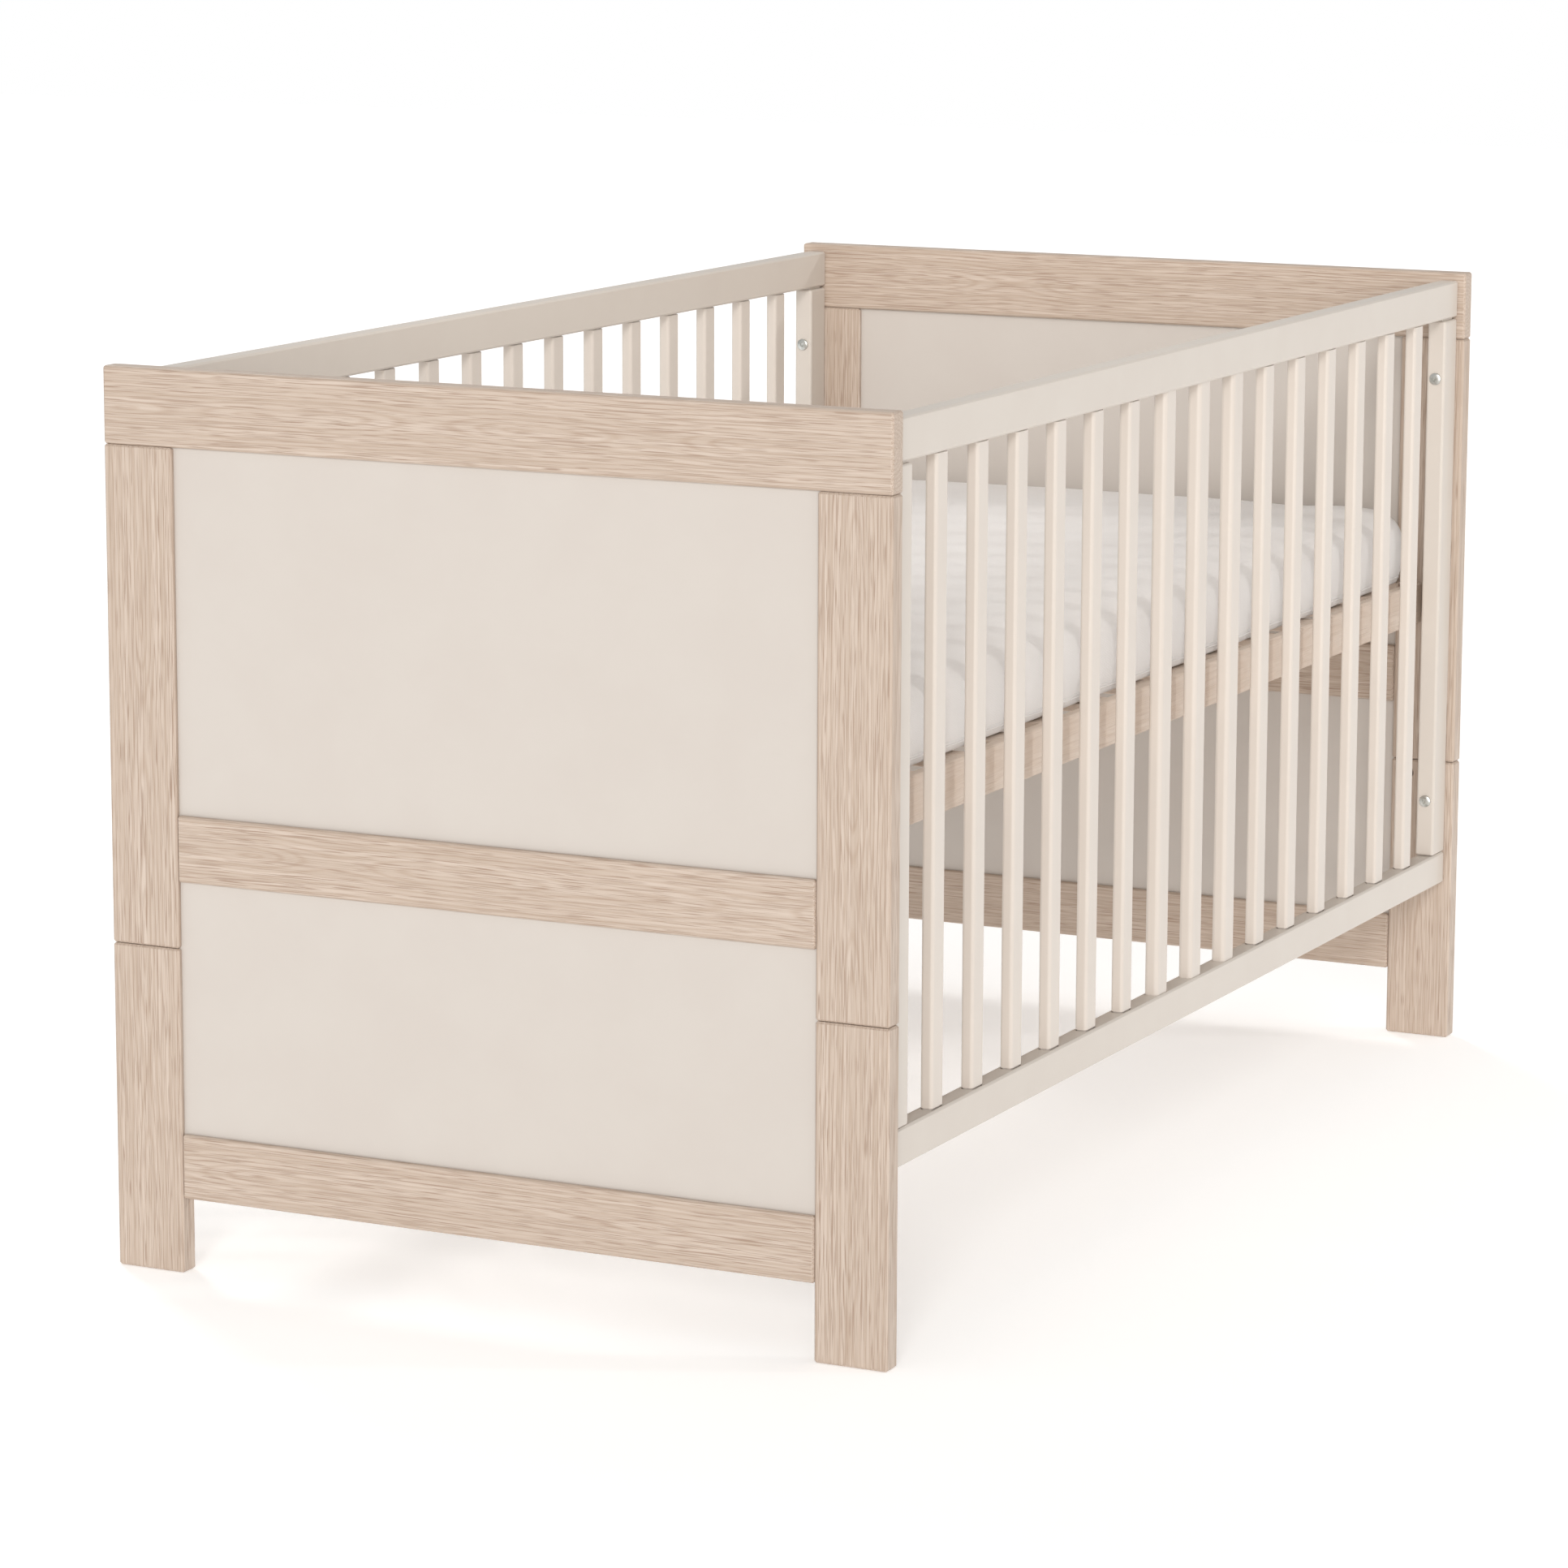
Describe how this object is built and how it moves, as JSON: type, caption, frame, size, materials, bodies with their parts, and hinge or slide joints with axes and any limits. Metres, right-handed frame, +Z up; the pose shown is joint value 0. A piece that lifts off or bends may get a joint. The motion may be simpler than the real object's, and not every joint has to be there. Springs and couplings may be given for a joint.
{
  "type": "baby crib",
  "caption": "Baby crib with panelled wood-decor ends, barred sides whose middle bars lift out, and a height-adjustable slatted base under a quilted mattress.",
  "frame": {"origin": "on the floor, under the middle of the crib", "axes": "+Z up, +Y along the crib towards the headboard, +X towards the side with the lift-out bars"},
  "size_m": [0.778, 1.446, 0.827],
  "materials": {
    "elm_decor": "satin",
    "cream_lacquer": "satin",
    "bare_wood": "matte",
    "zinc_steel": "satin",
    "cotton_cover": "matte"
  },
  "bodies": {
    "frame": {"footboard_left_leg": "elm_decor", "footboard_left_post": "elm_decor", "footboard_low_rail": "elm_decor", "footboard_lower_panel": "cream_lacquer", "footboard_mid_rail": "elm_decor", "footboard_right_leg": "elm_decor", "footboard_right_post": "elm_decor", "footboard_top_rail": "elm_decor", "footboard_upper_panel": "cream_lacquer", "headboard_left_leg": "elm_decor", "headboard_left_post": "elm_decor", "headboard_low_rail": "elm_decor", "headboard_lower_panel": "cream_lacquer", "headboard_mid_rail": "elm_decor", "headboard_right_leg": "elm_decor", "headboard_right_post": "elm_decor", "headboard_top_rail": "elm_decor", "headboard_upper_panel": "cream_lacquer", "left_side_foot_high_bolt": "zinc_steel", "left_side_foot_low_bolt": "zinc_steel", "left_side_foot_stile": "cream_lacquer", "left_side_head_high_bolt": "zinc_steel", "left_side_head_low_bolt": "zinc_steel", "left_side_head_stile": "cream_lacquer", "left_side_low_rail_and_bars": "cream_lacquer", "left_side_top_rail": "cream_lacquer", "right_side_bar_01": "cream_lacquer", "right_side_bar_02": "cream_lacquer", "right_side_bar_03": "cream_lacquer", "right_side_bar_04": "cream_lacquer", "right_side_bar_05": "cream_lacquer", "right_side_bar_06": "cream_lacquer", "right_side_bar_10": "cream_lacquer", "right_side_bar_11": "cream_lacquer", "right_side_bar_12": "cream_lacquer", "right_side_bar_13": "cream_lacquer", "right_side_bar_14": "cream_lacquer", "right_side_bar_15": "cream_lacquer", "right_side_foot_high_bolt": "zinc_steel", "right_side_foot_low_bolt": "zinc_steel", "right_side_foot_stile": "cream_lacquer", "right_side_head_high_bolt": "zinc_steel", "right_side_head_low_bolt": "zinc_steel", "right_side_head_stile": "cream_lacquer", "right_side_low_rail": "cream_lacquer", "right_side_top_rail": "cream_lacquer"},
    "bed_base": {"base_foot_rail": "bare_wood", "base_head_rail": "bare_wood", "base_left_foot_pin": "zinc_steel", "base_left_head_pin": "zinc_steel", "base_left_rail": "bare_wood", "base_right_foot_pin": "zinc_steel", "base_right_head_pin": "zinc_steel", "base_right_rail": "bare_wood", "mattress": "cotton_cover", "slat_deck": "bare_wood"},
    "lift_bar_07": {"right_side_removable_bar_07": "cream_lacquer"},
    "lift_bar_08": {"right_side_removable_bar_08": "cream_lacquer"},
    "lift_bar_09": {"right_side_removable_bar_09": "cream_lacquer"}
  },
  "joints": [
    {"name": "base_height", "type": "slide", "parent": "frame", "child": "bed_base", "axis": [0, 0, 1], "range_m": [-0.187, 0]},
    {"name": "bar_07_lift", "type": "slide", "parent": "frame", "child": "lift_bar_07", "axis": [0, 0, 1], "range_m": [0, 0.012]},
    {"name": "bar_08_lift", "type": "slide", "parent": "frame", "child": "lift_bar_08", "axis": [0, 0, 1], "range_m": [0, 0.012]},
    {"name": "bar_09_lift", "type": "slide", "parent": "frame", "child": "lift_bar_09", "axis": [0, 0, 1], "range_m": [0, 0.012]}
  ]
}
